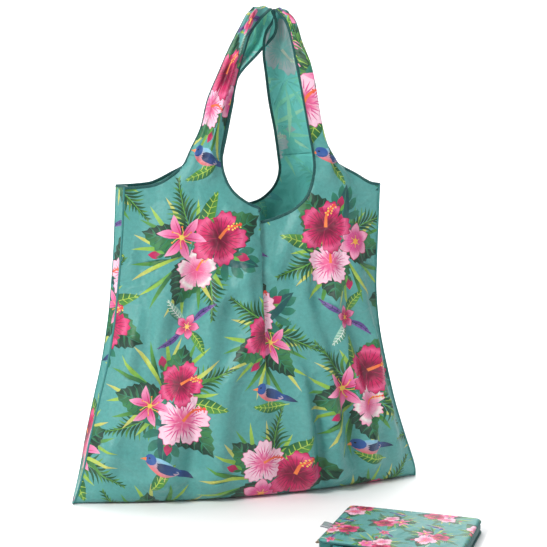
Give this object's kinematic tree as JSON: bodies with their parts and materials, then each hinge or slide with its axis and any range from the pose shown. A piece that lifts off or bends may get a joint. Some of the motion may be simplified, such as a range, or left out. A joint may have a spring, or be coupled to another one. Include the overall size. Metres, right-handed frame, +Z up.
{
  "type": "foldable tote bag",
  "caption": "Thin gusseted shopper hung open by two loop handles, with a small zipped pouch beside it.",
  "frame": {"origin": "centre of the bag's base on the ground", "axes": "+X to the bag's right, -Y to its front, +Z up"},
  "size_m": [0.4384, 0.3925, 0.59],
  "materials": {
    "print_cloth": "thin plain-weave polyester with a tropical leaf and flower print on teal",
    "binding": "dark teal narrow hem and piping",
    "zip_plastic": "moulded nylon coil",
    "zip_metal": "enamelled die casting",
    "tag_film": "silver-grey coated film, slightly glossy",
    "tab_webbing": "plain beige tape"
  },
  "bodies": {
    "bag": {"front_panel": "print_cloth", "back_panel": "print_cloth", "front_mouth_hem": "binding", "back_mouth_hem": "binding", "left_gusset": "print_cloth", "right_gusset": "print_cloth", "front_left_seam": "binding", "back_left_seam": "binding", "front_right_seam": "binding", "back_right_seam": "binding", "bottom_seam": "binding", "left_shoulder_hem": "binding", "right_shoulder_hem": "binding", "left_front_root": "print_cloth", "left_back_root": "print_cloth", "right_front_root": "print_cloth", "right_back_root": "print_cloth"},
    "left_handle": {"left_front_strap": "print_cloth", "left_front_outer_hem": "binding", "left_front_inner_hem": "binding", "left_back_strap": "print_cloth", "left_back_outer_hem": "binding", "left_back_inner_hem": "binding", "left_handle_fold": "print_cloth"},
    "right_handle": {"right_front_strap": "print_cloth", "right_front_outer_hem": "binding", "right_front_inner_hem": "binding", "right_back_strap": "print_cloth", "right_back_outer_hem": "binding", "right_back_inner_hem": "binding", "right_handle_fold": "print_cloth"},
    "pouch": {"pouch_base_panel": "print_cloth", "pouch_wall": "print_cloth", "pouch_lid_panel": "print_cloth", "pouch_base_piping": "binding", "pouch_lid_piping": "binding", "zip_tape_lower": "binding", "zip_tape_upper": "binding", "zip_coil": "zip_plastic", "zip_stop_start": "zip_plastic", "zip_stop_end": "zip_plastic", "side_tag": "tag_film", "end_tab": "tab_webbing"},
    "slider": {"zip_slider": "zip_metal"},
    "pull": {"pull_tab": "zip_metal"}
  },
  "joints": [
    {"name": "left_handle_lean", "type": "hinge", "parent": "bag", "child": "left_handle", "pos_m": [-0.096, 0, 0.408], "axis": [0, -1, 0], "range_deg": [0, 35]},
    {"name": "right_handle_lean", "type": "hinge", "parent": "bag", "child": "right_handle", "pos_m": [0.096, 0, 0.408], "axis": [0, 1, 0], "range_deg": [0, 35]},
    {"name": "pouch_lift", "type": "slide", "parent": "bag", "child": "pouch", "axis": [0, 0, 1], "range_m": [0, 0.3]},
    {"name": "zip_run", "type": "slide", "parent": "pouch", "child": "slider", "axis": [0.8192, -0.5736, 0], "range_m": [0, 0.105]},
    {"name": "pull_swing", "type": "hinge", "parent": "slider", "child": "pull", "pos_m": [0.02481, -0.25798, 0.007], "axis": [0, 0, -1], "range_deg": [0, 120]}
  ]
}
